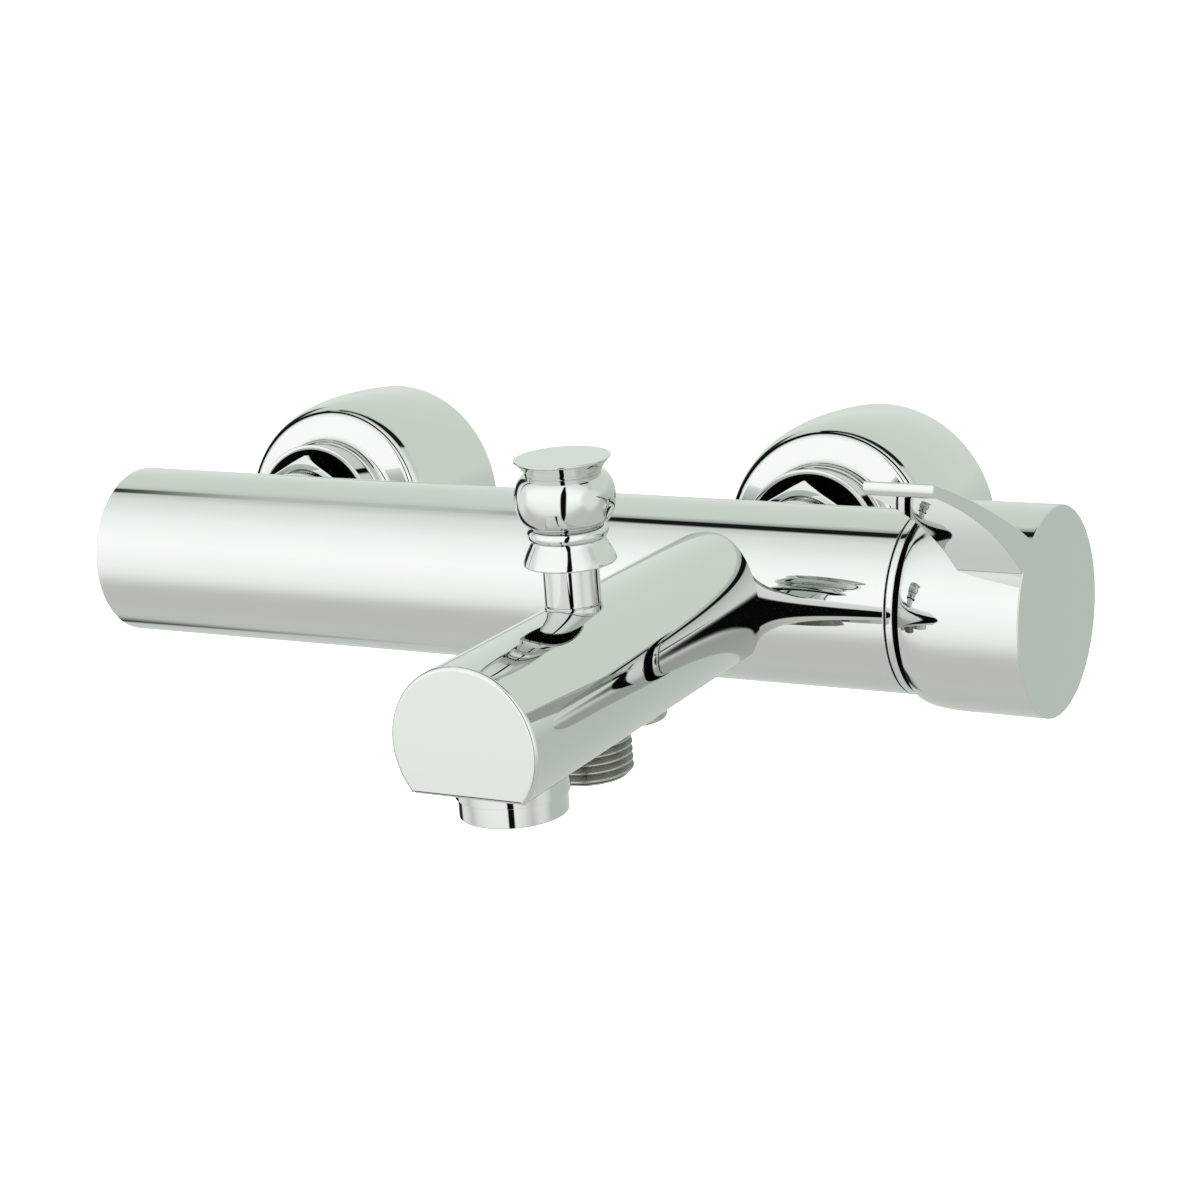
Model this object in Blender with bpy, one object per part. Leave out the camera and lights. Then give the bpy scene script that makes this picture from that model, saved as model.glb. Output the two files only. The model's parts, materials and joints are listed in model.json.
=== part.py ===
"""Wall mounted single lever bath mixer with a turned diverter knob.

Lengths are in millimetres and become metres where a mesh is made. The origin lies on the wall,
midway between the two inlets. +X runs along the mixer towards its handle, +Y into the wall, +Z up.
"""
import math

import bmesh
import bpy
from mathutils import Matrix, Vector

MM = 0.001
GAP = 0.3

# the tube that carries everything
INLET_SPACING = 150.0
BODY_Y = -84.5
BODY_Z = -7.0
BODY_RADIUS = 21.5
BODY_LEFT = -101.5
BODY_RIGHT = 122.7
HOT_BORE_RADIUS = 18.0
HOT_BORE_END = 40.0
CHAMBER_RADIUS = 17.7
CHAMBER_FLOOR = 88.0
CHANNEL_RADIUS = 4.0
PORT_CIRCLE = 8.5
PORT_HOLE_RADIUS = 2.9

# the spout, in its own axes: Z across it, -Y along it
SPOUT_X = 75.0
SPOUT_TILT = math.radians(9.0)
SPOUT_REACH = 127.0
SPOUT_RISE = 1.0
SPOUT_TIP_RADIUS = 17.6
SPOUT_ROOT_RADIUS = 16.5
SPOUT_ROOT = 10.0
SPOUT_EDGE = 1.0
FLAT_Z = -9.65
AERATOR_REACH = 109.0
AERATOR_BOSS_RADIUS = 12.4
AERATOR_BOSS_END = -14.1
AERATOR_RADIUS = 11.8
AERATOR_END = -18.7
DIVERTER_REACH = 77.4

# the diverter, heights across the spout
GLAND_BOSS_TOP = 18.3
GLAND_BOSS_RADIUS = 6.4
GLAND_RADIUS = 6.2
GLAND_TOP = 38.0
KNOB_BOTTOM = 27.7
KNOB_TOP = 51.0
ROD_RADIUS = 2.5
VALVE_RADIUS = 6.6
VALVE_BOTTOM = -7.3
VALVE_TOP = -5.2
VALVE_CHAMBER_RADIUS = 8.4
VALVE_CHAMBER_TOP = 4.3

# the shower outlet under the diverter
NIPPLE_CREST_RADIUS = 10.48
NIPPLE_ROOT_RADIUS = 9.32
NIPPLE_PITCH = 1.814
NIPPLE_CRESTS = 4
NIPPLE_END = -20.7
NIPPLE_BORE_RADIUS = 6.3
NIPPLE_HEX_ACROSS = 19.5

# a screwed plug behind the shower outlet
PLUG_REACH = 55.5
PLUG_RADIUS = 8.0
PLUG_END = -14.8

# the handle
HANDLE_RIM_X = 126.8
HANDLE_END_X = 156.4
HANDLE_RIM_RADIUS = 22.95
HANDLE_RIM_INNER = 22.4
HANDLE_END_RADIUS = 24.5
HANDLE_END_WALL = 3.5
HANDLE_BOSS_RADIUS = 8.6
HANDLE_BOSS_X = 136.0
LEVER_WIDTH = 16.0
LEVER_RISE = math.radians(28.0)
LIFT_PIVOT_X = 118.8
BALL_X = 106.2
BALL_RADIUS = 2.9
SQUARE_SIDE = 7.4
GRUB_X = 143.0

# inlets, heights measured out from the wall
ROSETTE_WALL_RADIUS = 32.4
ROSETTE_RIM_RADIUS = 26.2
ROSETTE_DEPTH = 34.3
ROSETTE_WALL = 1.3
COLLAR_RADIUS = 19.0
COLLAR_END = 38.5
NECK_RADIUS = 11.6
NECK_END = 43.2
NECK_BORE_RADIUS = 8.0
NUT_ACROSS = 28.0
NUT_START = 36.0
NUT_END = 49.0
SHROUD_END = 44.3
TAIL_RADIUS = 12.9
TAIL_OFFSET = 7.0
WALL_THREAD_RADIUS = 10.4
WALL_THREAD_DEPTH = 20.0

FINE = 56
ROUND = 40
PLAIN = 24
SMALL = 16


def clear_scene():
    for thing in list(bpy.data.objects):
        bpy.data.objects.remove(thing)


def finish(name, colour, roughness, metallic):
    material = bpy.data.materials.new(name)
    material.use_nodes = True
    shader = material.node_tree.nodes["Principled BSDF"]
    shader.inputs["Base Color"].default_value = (*colour, 1.0)
    shader.inputs["Roughness"].default_value = roughness
    shader.inputs["Metallic"].default_value = metallic
    material.diffuse_color = (*colour, 1.0)
    return material


def empty(name, location, rotation, parent=None):
    axes = bpy.data.objects.new(name, None)
    bpy.context.scene.collection.objects.link(axes)
    axes.location = Vector(location) * MM
    axes.rotation_euler = rotation
    axes.parent = parent
    return axes


def add_piece(name, shape, parent, material=None, place=(0, 0, 0), sharp=35.0):
    """Turns a bmesh in millimetres into an object in metres. Without a material it is a tool."""
    bmesh.ops.remove_doubles(shape, verts=shape.verts, dist=1e-4)
    bmesh.ops.recalc_face_normals(shape, faces=shape.faces)
    bmesh.ops.scale(shape, vec=(MM, MM, MM), verts=shape.verts)
    mesh = bpy.data.meshes.new(name)
    shape.to_mesh(mesh)
    shape.free()
    mesh.shade_smooth()
    mesh.set_sharp_from_angle(angle=math.radians(sharp))
    piece = bpy.data.objects.new(name, mesh)
    bpy.context.scene.collection.objects.link(piece)
    piece.parent = parent
    piece.location = Vector(place) * MM
    if material is None:
        piece.hide_render = True
        piece.display_type = "WIRE"
    else:
        mesh.materials.append(material)
    return piece


def turned_shape(outline, steps, base=0.0, closed=False):
    """Spins an outline of (radius, height) points about Z."""
    shape = bmesh.new()
    points = [shape.verts.new((radius, 0.0, height - base)) for radius, height in outline]
    pairs = list(zip(points, points[1:]))
    if closed:
        pairs.append((points[-1], points[0]))
    edges = [shape.edges.new(pair) for pair in pairs]
    bmesh.ops.spin(shape, geom=points + edges, cent=(0, 0, 0), axis=(0, 0, 1),
                   angle=math.tau, steps=steps, use_merge=True)
    return shape


def turned(name, outline, parent, material=None, steps=PLAIN, place=(0, 0, 0), base=0.0):
    """A turned piece. An outline that starts off the axis is a closed ring."""
    ring = outline[0][0] > 0
    shape = turned_shape(outline, steps, base, closed=ring)
    return add_piece(name, shape, parent, material, place)


def rod(name, radius, low, high, parent, place=(0, 0, 0), material=None, steps=SMALL):
    outline = [(0, low), (radius, low), (radius, high), (0, high)]
    return turned(name, outline, parent, material, steps, place)


def ring(name, inner, outer, low, high, parent, material, steps=PLAIN, place=(0, 0, 0)):
    outline = [(inner, low), (outer, low), (outer, high), (inner, high)]
    return turned(name, outline, parent, material, steps, place)


def o_ring(name, middle, thickness, height, parent, material, steps, place=(0, 0, 0)):
    count = 8
    outline = []
    for index in range(count):
        angle = math.tau * index / count
        outline.append((middle + thickness * math.cos(angle), height + thickness * math.sin(angle)))
    return turned(name, outline, parent, material, steps, place)


def prism_shape(points, low, high):
    """Extrudes a flat outline of (x, y) points from one height to another."""
    shape = bmesh.new()
    face = shape.faces.new([shape.verts.new((x, y, low)) for x, y in points])
    grown = bmesh.ops.extrude_face_region(shape, geom=[face])
    raised = [item for item in grown["geom"] if isinstance(item, bmesh.types.BMVert)]
    bmesh.ops.translate(shape, vec=(0, 0, high - low), verts=raised)
    return shape


def hexagon(across):
    corner = across / math.sqrt(3)
    return [(corner * math.cos(math.pi * k / 3), corner * math.sin(math.pi * k / 3)) for k in range(6)]


def rectangle(low_x, high_x, low_y, high_y):
    return [(low_x, low_y), (high_x, low_y), (high_x, high_y), (low_x, high_y)]


def boolean(target, tool, operation="DIFFERENCE"):
    step = target.modifiers.new(operation.lower() + " " + tool.name, "BOOLEAN")
    step.operation = operation
    step.object = tool


def bezier(start, start_angle, end, end_angle, pull, count):
    """Points on a cubic curve between two points with given directions at its ends."""
    first, last = Vector(start), Vector(end)
    leave = first + pull * Vector((-math.cos(start_angle), math.sin(start_angle)))
    arrive = last - pull * Vector((-math.cos(end_angle), math.sin(end_angle)))
    points = []
    for index in range(count + 1):
        t = index / count
        s = 1 - t
        points.append(s ** 3 * first + 3 * s * s * t * leave + 3 * s * t * t * arrive + t ** 3 * last)
    return points


def across_body(y, z):
    """A point's place across the tube, from its Y and Z off the tube's centre line."""
    return (-z, y, 0)


def spout_radius(reach):
    share = (reach - SPOUT_ROOT) / (SPOUT_REACH - SPOUT_ROOT)
    return SPOUT_ROOT_RADIUS + share * (SPOUT_TIP_RADIUS - SPOUT_ROOT_RADIUS)


def port_places():
    """Hot, cold and mixed water ports, as Y and Z off the tube's centre line."""
    angles = (math.radians(-50), math.radians(50), math.radians(180))
    return [(PORT_CIRCLE * math.cos(a), PORT_CIRCLE * math.sin(a)) for a in angles]


def make_spout_blank(axes):
    along = empty("spout_length", (0, 0, SPOUT_RISE), (math.pi / 2, 0, 0), axes)
    tip = SPOUT_TIP_RADIUS
    outline = [(0, SPOUT_ROOT), (SPOUT_ROOT_RADIUS, SPOUT_ROOT)]
    outline.append((tip, SPOUT_REACH - SPOUT_EDGE))
    outline.append((tip - 0.3 * SPOUT_EDGE, SPOUT_REACH - 0.3 * SPOUT_EDGE))
    outline.append((tip - SPOUT_EDGE, SPOUT_REACH))
    outline.append((0, SPOUT_REACH))
    blank = turned("spout_blank", outline, along, steps=FINE)
    below = prism_shape(rectangle(-30, 30, -SPOUT_REACH - 5, 0), -40, FLAT_Z)
    boolean(blank, add_piece("spout_flat_cut", below, axes))
    return blank


def make_mixer_body(body_axes, spout_axes, inlets, material):
    outline = [(0, HOT_BORE_END), (HOT_BORE_RADIUS, HOT_BORE_END), (HOT_BORE_RADIUS, BODY_LEFT)]
    outline += [(BODY_RADIUS - 0.6, BODY_LEFT), (BODY_RADIUS, BODY_LEFT + 0.6)]
    outline += [(BODY_RADIUS, BODY_RIGHT - 0.3), (BODY_RADIUS - 0.3, BODY_RIGHT)]
    outline += [(CHAMBER_RADIUS, BODY_RIGHT), (CHAMBER_RADIUS, CHAMBER_FLOOR), (0, CHAMBER_FLOOR)]
    body = turned("mixer_body", outline, body_axes, material, FINE)

    boolean(body, make_spout_blank(spout_axes), "UNION")
    aerator = (0, -AERATOR_REACH, 0)
    diverter = (0, -DIVERTER_REACH, 0)
    boss = rod("aerator_boss", AERATOR_BOSS_RADIUS, AERATOR_BOSS_END, -4, spout_axes, aerator,
               steps=ROUND)
    boolean(body, boss, "UNION")
    boss = rod("gland_boss", GLAND_BOSS_RADIUS, 12, GLAND_BOSS_TOP, spout_axes, diverter,
               steps=PLAIN)
    boolean(body, boss, "UNION")
    for side, inlet in inlets.items():
        outline = [(0, NECK_END), (NECK_RADIUS + 1.2, NECK_END), (NECK_RADIUS + 1.2, NECK_END + 3)]
        outline += [(NECK_RADIUS, NECK_END + 3), (NECK_RADIUS, 78), (0, 78)]
        boolean(body, turned("neck_" + side, outline, inlet, steps=PLAIN), "UNION")

    left_clear = rod("hot_bore", HOT_BORE_RADIUS, BODY_LEFT - 2, HOT_BORE_END, body_axes,
                     steps=FINE)
    boolean(body, left_clear)
    chamber = rod("chamber_bore", CHAMBER_RADIUS, CHAMBER_FLOOR, BODY_RIGHT + 2, body_axes,
                  steps=FINE)
    boolean(body, chamber)
    for side, inlet in inlets.items():
        depth = 84 if side == "right" else 80
        boolean(body, rod("neck_bore_" + side, NECK_BORE_RADIUS, 40, depth, inlet, steps=SMALL))
    starts = (HOT_BORE_END - 2, SPOUT_X, SPOUT_X)
    for name, start, (y, z) in zip(("hot", "cold", "mixed"), starts, port_places()):
        place = across_body(y, z)
        boolean(body, rod(name + "_channel", CHANNEL_RADIUS, start, CHAMBER_FLOOR + 2, body_axes,
                          place, steps=SMALL))

    rear = empty("rear_channel_axis", (0, 0, -3), (math.pi / 2, 0, 0), spout_axes)
    boolean(body, rod("rear_channel", 4.5, 6, DIVERTER_REACH, rear, steps=SMALL))
    front = empty("front_channel_axis", (0, 0, 7), (math.pi / 2, 0, 0), spout_axes)
    boolean(body, rod("front_channel", 3.8, DIVERTER_REACH, AERATOR_REACH, front, steps=SMALL))
    stepped = [(0, -16), (9.1, -16), (9.1, -7.9), (VALVE_CHAMBER_RADIUS, -7.9)]
    stepped += [(VALVE_CHAMBER_RADIUS, VALVE_CHAMBER_TOP), (7, VALVE_CHAMBER_TOP), (7, 10.8)]
    stepped += [(6, 10.8), (6, 22), (0, 22)]
    boolean(body, turned("valve_bore", stepped, spout_axes, steps=PLAIN, place=diverter))
    stepped = [(0, -22), (10.7, -22), (10.7, -7.2), (8.8, -7.2), (8.8, 9), (0, 9)]
    boolean(body, turned("aerator_bore", stepped, spout_axes, steps=PLAIN, place=aerator))
    return body


def make_left_end(axes, metal, rubber):
    radius = HOT_BORE_RADIUS - GAP
    groove = radius - 1.8
    outline = [(0, BODY_LEFT + 0.2), (radius - 0.5, BODY_LEFT + 0.2), (radius, BODY_LEFT + 0.7)]
    outline += [(radius, -98.9), (groove, -98.9), (groove, -97.0), (radius, -97.0)]
    outline += [(radius, -95), (0, -95)]
    turned("left_end_plug", outline, axes, metal, ROUND)
    o_ring("left_plug_oring", groove + 0.9, 0.72, -97.95, axes, rubber, ROUND)


def ported_disc(name, radius, low, high, axes, material):
    disc = rod(name, radius, low, high, axes, material=material, steps=PLAIN)
    for index, (y, z) in enumerate(port_places()):
        hole = rod(f"{name}_port_{index + 1}", PORT_HOLE_RADIUS, low - 1, high + 1, axes,
                   across_body(y, z), steps=16)
        boolean(disc, hole)
    return disc


def make_cartridge(axes, lever_axes, finishes):
    ported_disc("cartridge_seal", 16.8, 88.3, 89.8, axes, finishes["rubber"])
    ported_disc("cartridge_base", 17.3, 90.1, 94.0, axes, finishes["plastic"])
    ported_disc("fixed_disc", 13.5, 94.3, 98.0, axes, finishes["ceramic"])
    shell = [(13.8, 94.3), (17.3, 94.3), (17.3, 114), (9.1, 114), (9.1, 110), (13.8, 110)]
    turned("cartridge_housing", shell, axes, finishes["plastic"], PLAIN)
    ring("retaining_nut", 12.0, 17.4, 114.3, 119.5, axes, finishes["brass"])
    outline = [(15.8, 119.8), (17.4, 119.8), (17.4, 123.0), (21.2, 123.0), (BODY_RADIUS, 123.3)]
    outline += [(BODY_RADIUS, 124.5), (21.1, 124.9), (15.8, 124.9)]
    turned("cover_ring", outline, axes, finishes["chrome"], FINE)

    offset = (-2.9, 0, 0)
    disc = rod("moving_disc", 10.4, 98.3, 101.8, lever_axes, offset, finishes["ceramic"], PLAIN)
    pocket = rod("mixing_pocket", 6.5, 97, 99.8, lever_axes, offset, steps=SMALL)
    boolean(disc, pocket)
    carrier = rod("disc_carrier", 9.8, 102.1, 106.6, lever_axes, offset, finishes["plastic"], PLAIN)
    boolean(carrier, rod("carrier_socket", 3.8, 102.9, 108, lever_axes, steps=SMALL))

    outline = [(0, 107.8), (12.9, 107.8), (12.9, 109.7), (8.8, 109.7), (8.8, 122.5), (0, 122.5)]
    collar = turned("turning_collar", outline, lever_axes, finishes["plastic"], PLAIN)
    for name, box, low, high in (("flange", rectangle(-3.6, 8.4, -3.4, 3.4), 107, 109.75),
                                 ("tube", rectangle(-6.4, 7.2, -4.6, 4.6), 109.7, 124)):
        boolean(collar, add_piece("collar_slot_" + name, prism_shape(box, low, high), lever_axes))
    pin_axes = empty("pin_axis", (0, 0, LIFT_PIVOT_X), (math.pi / 2, 0, 0), lever_axes)
    boolean(collar, rod("collar_pin_hole", 1.75, -12, 12, pin_axes, steps=16))
    rod("spindle_pin", 1.5, -8.4, 8.4, pin_axes, material=finishes["steel"], steps=16)

    ball = [(BALL_RADIUS * math.sin(angle), BALL_X - BALL_RADIUS * math.cos(angle))
            for angle in (math.pi * k / 6 for k in range(5))]
    outline = ball + [(2.6, 108.2), (2.6, 112.5), (4.2, 112.5), (4.2, 129), (0, 129)]
    pivot = (0, 0, LIFT_PIVOT_X)
    spindle = turned("spindle", outline, lever_axes, finishes["brass"], SMALL, pivot, LIFT_PIVOT_X)
    half = SQUARE_SIDE / 2
    square = prism_shape(rectangle(-half, half, -half, half), 128, 150)
    boolean(spindle, add_piece("spindle_square", square, lever_axes), "UNION")
    boolean(spindle, rod("spindle_pin_hole", 1.85, -8, 8, pin_axes, steps=16))


def lever_outline():
    """The blade's side view, as Y and Z off the tube's centre line, closed inside the cup wall."""
    under = bezier((-22.0, 11.0), math.radians(37), (-72.2, 32.3), math.radians(14), 18, 12)
    over = bezier((-16.0, 17.6), math.radians(24), (-72.4, 35.1), math.radians(13), 18, 12)
    inside = HANDLE_END_RADIUS - 1.0
    root = []
    for degrees in (44, 38, 32):
        angle = math.radians(degrees)
        root.append(Vector((-inside * math.cos(angle), inside * math.sin(angle))))
    return under + over[::-1] + root


def make_handle(axes, lever_axes, finishes):
    pivot = (0, 0, LIFT_PIVOT_X)
    floor = HANDLE_END_X - HANDLE_END_WALL
    outline = [(0, HANDLE_END_X), (HANDLE_END_RADIUS - 0.4, HANDLE_END_X)]
    outline += [(HANDLE_END_RADIUS, HANDLE_END_X - 0.4), (24.38, 136.5), (24.12, 131.8)]
    outline += [(23.45, 128.2), (HANDLE_RIM_RADIUS, HANDLE_RIM_X), (HANDLE_RIM_INNER, HANDLE_RIM_X)]
    outline += [(HANDLE_RIM_INNER, 129.0), (22.9, 132.0), (22.9, floor), (HANDLE_BOSS_RADIUS, floor)]
    outline += [(HANDLE_BOSS_RADIUS, HANDLE_BOSS_X), (0, HANDLE_BOSS_X)]
    handle = turned("handle", outline, axes, finishes["chrome"], FINE, pivot, LIFT_PIVOT_X)
    blade = prism_shape([across_body(*point)[:2] for point in lever_outline()],
                        HANDLE_END_X - LEVER_WIDTH, HANDLE_END_X)
    boolean(handle, add_piece("lever_blade", blade, axes), "UNION")
    half = SQUARE_SIDE / 2 + GAP
    socket = prism_shape(rectangle(-half, half, -half, half), HANDLE_BOSS_X - 2, 150.5)
    boolean(handle, add_piece("handle_socket", socket, lever_axes))
    grub_axes = empty("grub_axis", (0, 0, GRUB_X), (0, -math.pi / 2, 0), lever_axes)
    boolean(handle, rod("grub_hole", 2.7, 2, 12, grub_axes, steps=16))
    boolean(handle, rod("plug_hole", 3.3, 18, 30, grub_axes, steps=SMALL))
    grub = rod("handle_grub_screw", 2.4, 4.1, 8.3, grub_axes, material=finishes["steel"], steps=16)
    key = add_piece("grub_key", prism_shape(hexagon(2.5), 6.2, 10), grub_axes)
    boolean(grub, key)
    outline = [(0, 21.6), (2.2, 21.6), (2.2, 23.2), (3.0, 23.2), (3.0, 23.9), (0, 24.1)]
    turned("handle_index_plug", outline, grub_axes, finishes["plastic"], SMALL)


def knob_outline():
    """Half section of the turned knob, from the top of its axis down to the skirt."""
    outline = [(0, KNOB_TOP), (10.5, KNOB_TOP), (10.6, 50.6), (9.5, 48.6), (8.7, 47.3)]
    for index in range(1, 12):
        angle = math.pi * (0.5 - index / 12)
        reach = 4.4 if angle > 0 else 5.9
        outline.append((8.0 + 3.05 * math.cos(angle), 42.3 + reach * math.sin(angle)))
    for index in range(1, 6):
        angle = math.pi * (0.5 - index / 6)
        outline.append((7.45 + 1.55 * math.cos(angle), 34.75 + 1.6 * math.sin(angle)))
    outline += [(7.95, 32.9), (8.9, 30.7), (10.25, 28.1), (10.05, KNOB_BOTTOM)]
    return outline


def make_diverter(axes, finishes):
    place = (0, -DIVERTER_REACH, 0)
    hollow = GLAND_RADIUS + 0.4
    outline = knob_outline() + [(9.3, KNOB_BOTTOM), (7.0, 31.8), (hollow, 31.8), (hollow, 41)]
    outline += [(2.8, 41), (2.8, 47), (0, 47)]
    turned("diverter_knob", outline, axes, finishes["chrome"], ROUND, place)
    outline = [(0, VALVE_BOTTOM - 0.3), (1.8, VALVE_BOTTOM - 0.3), (1.8, -1), (ROD_RADIUS, -1)]
    outline += [(ROD_RADIUS, 46.6), (0, 46.6)]
    turned("diverter_rod", outline, axes, finishes["brass"], SMALL, place)
    ring("diverter_valve", 2.1, VALVE_RADIUS, VALVE_BOTTOM, VALVE_TOP, axes, finishes["brass"],
         SMALL, place)
    ring("diverter_valve_seal", VALVE_RADIUS + 0.2, 7.9, VALVE_BOTTOM, VALVE_TOP, axes,
         finishes["rubber"], SMALL, place)
    ring("diverter_seat", 4.6, VALVE_CHAMBER_RADIUS - GAP, 3.1, 4.0, axes, finishes["brass"],
         PLAIN, place)
    bore = ROD_RADIUS + 0.4
    base = GLAND_BOSS_TOP + GAP
    outline = [(bore, 11.1), (5.7, 11.1), (5.7, 13.9), (4.7, 13.9), (4.7, 15.5), (5.7, 15.5)]
    outline += [(5.7, base), (GLAND_RADIUS, base), (GLAND_RADIUS, GLAND_TOP), (bore, GLAND_TOP)]
    turned("diverter_gland", outline, axes, finishes["chrome"], PLAIN, place)
    o_ring("gland_oring", 5.3, 0.5, 14.7, axes, finishes["rubber"], PLAIN, place)


def make_shower_outlet(axes, finishes):
    place = (0, -DIVERTER_REACH, 0)
    top = FLAT_Z - GAP
    outline = [(NIPPLE_BORE_RADIUS, -8.2), (NIPPLE_BORE_RADIUS, NIPPLE_END), (9.2, NIPPLE_END)]
    start = NIPPLE_END + 0.5
    for index in range(NIPPLE_CRESTS):
        low = start + index * NIPPLE_PITCH
        outline.append((NIPPLE_ROOT_RADIUS, low))
        outline.append((NIPPLE_CREST_RADIUS, low + 0.35 * NIPPLE_PITCH))
        outline.append((NIPPLE_CREST_RADIUS, low + 0.65 * NIPPLE_PITCH))
    outline += [(NIPPLE_ROOT_RADIUS, start + NIPPLE_CRESTS * NIPPLE_PITCH)]
    outline += [(NIPPLE_ROOT_RADIUS, top), (8.8, top), (8.8, -8.2)]
    nipple = turned("shower_nipple", outline[::-1], axes, finishes["nickel"], PLAIN, place)
    plate = add_piece("nipple_hex", prism_shape(hexagon(NIPPLE_HEX_ACROSS), top - 1.6, top), axes,
                      place=place)
    boolean(plate, rod("nipple_hex_bore", 8.0, -20, 0, axes, place, steps=PLAIN))
    boolean(nipple, plate, "UNION")
    outline = [(3.0, -19.9), (6.0, -19.9), (6.0, -17.5), (5.4, -17.5), (5.4, -12), (3.0, -12)]
    turned("shower_check_valve", outline, axes, finishes["plastic"], SMALL, place)


def make_spout_plug(axes, material):
    outline = [(0, PLUG_END), (PLUG_RADIUS - 1, PLUG_END), (PLUG_RADIUS, PLUG_END + 1)]
    outline += [(PLUG_RADIUS, FLAT_Z - GAP), (0, FLAT_Z - GAP)]
    plug = turned("spout_plug", outline, axes, material, PLAIN, (0, -PLUG_REACH, 0))
    key = prism_shape(hexagon(6), PLUG_END - 1, PLUG_END + 2.5)
    boolean(plug, add_piece("plug_key", key, axes, place=(0, -PLUG_REACH, 0)))


def make_aerator(axes, finishes):
    place = (0, -AERATOR_REACH, 0)
    outline = [(9.6, AERATOR_END), (AERATOR_RADIUS - 0.3, AERATOR_END)]
    outline += [(AERATOR_RADIUS, AERATOR_END + 0.3), (AERATOR_RADIUS, -14.4), (10.4, -14.4)]
    outline += [(10.4, -9.3), (9.6, -9.3)]
    turned("aerator_housing", outline, axes, finishes["chrome"], ROUND, place)
    insert = rod("aerator_insert", 9.3, -18.1, -11.0, axes, place, finishes["plastic"], PLAIN)
    for index in range(7):
        reach = 5.7 if index else 0.0
        angle = math.pi * index / 3
        hole = (reach * math.cos(angle), reach * math.sin(angle) - AERATOR_REACH, 0)
        boolean(insert, rod(f"aerator_hole_{index + 1}", 2.1, -20, -9, axes, hole, steps=12))
    ring("aerator_seal", 9.0, 10.4, -9.0, -7.5, axes, finishes["rubber"], PLAIN, place)


def rosette_outline():
    """Half section of a rosette: an elliptic bell whose front sweeps up into a short collar."""
    def bell(height):
        swell = ROSETTE_WALL_RADIUS - ROSETTE_RIM_RADIUS
        return ROSETTE_RIM_RADIUS + swell * math.sqrt(max(0.0, 1 - (height / ROSETTE_DEPTH) ** 2))

    heights = [ROSETTE_DEPTH * math.sin(math.pi / 2 * k / 9) for k in range(10)]
    outer = [(bell(height), height) for height in heights]
    front = [(24.8, ROSETTE_DEPTH + 0.3), (21.0, ROSETTE_DEPTH + 0.8), (19.6, ROSETTE_DEPTH + 1.7)]
    front += [(COLLAR_RADIUS, ROSETTE_DEPTH + 3.0), (COLLAR_RADIUS, COLLAR_END)]
    front += [(17.6, COLLAR_END), (17.6, ROSETTE_DEPTH - 2.8), (24.8, ROSETTE_DEPTH - 1.7)]
    inner = [(bell(height) - ROSETTE_WALL, height) for height in heights[6::-2]]
    inner[-1] = (ROSETTE_WALL_RADIUS - 2.2, 0.0)
    return outer + front + inner


def make_inlet(side, axes, finishes):
    turned("rosette_" + side, rosette_outline(), axes, finishes["chrome"], ROUND)
    outline = [(16.8, 33.0), (17.3, 33.0), (17.3, COLLAR_END + GAP), (18.7, COLLAR_END + GAP)]
    outline += [(18.7, SHROUD_END - 0.3), (18.4, SHROUD_END), (17.4, SHROUD_END)]
    outline += [(17.4, 40.2), (16.8, 39.6)]
    turned("shroud_ring_" + side, outline, axes, finishes["chrome"], ROUND)

    nut = add_piece("union_nut_" + side, prism_shape(hexagon(NUT_ACROSS), NUT_START, NUT_END), axes,
                    finishes["chrome"])
    flat = NUT_ACROSS / 2
    outline = [(0, NUT_START), (flat, NUT_START), (flat + 2.3, NUT_START + 1.2)]
    outline += [(flat + 2.3, NUT_END - 1.2), (flat, NUT_END), (0, NUT_END)]
    boolean(nut, turned("nut_chamfer_" + side, outline, axes), "INTERSECT")
    outline = [(0, NUT_START - 1), (13.1, NUT_START - 1), (13.1, NUT_END - 2.5)]
    outline += [(12.0, NUT_END - 2.5), (12.0, NUT_END + 1), (0, NUT_END + 1)]
    boolean(nut, turned("nut_bore_" + side, outline, axes))

    ring("union_washer_" + side, 9.0, 12.6, 41.4, 42.9, axes, finishes["rubber"], SMALL)
    outline = [(0, 46.6), (4.6, 46.6), (7.5, 44.6), (7.5, 42.4), (8.7, 42.4), (8.7, 41.7)]
    outline += [(6.9, 41.7), (6.9, 44.2), (4.3, 46.0), (0, 46.0)]
    turned("inlet_strainer_" + side, outline, axes, finishes["steel"], SMALL)

    outline = [(0, 16), (TAIL_RADIUS - 0.8, 16), (TAIL_RADIUS - 0.8, 31), (TAIL_RADIUS, 31.5)]
    outline += [(TAIL_RADIUS, 40.6), (TAIL_RADIUS - 0.5, 41.1), (0, 41.1)]
    union = turned("s_union_" + side, outline, axes, finishes["brass"], PLAIN)
    middle = rod("s_union_middle_" + side, 17.0, 14, 30, axes, (0, TAIL_OFFSET / 2, 0), steps=PLAIN)
    boolean(union, middle, "UNION")
    wall_end = rod("s_union_wall_end_" + side, WALL_THREAD_RADIUS, -WALL_THREAD_DEPTH, 18, axes,
                   (0, TAIL_OFFSET, 0), steps=PLAIN)
    boolean(union, wall_end, "UNION")
    boolean(union, rod("s_union_bore_" + side, 7.0, 18, 44, axes, steps=SMALL))
    boolean(union, rod("s_union_wall_bore_" + side, 7.0, -WALL_THREAD_DEPTH - 2, 27, axes,
                       (0, TAIL_OFFSET, 0), steps=SMALL))


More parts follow.
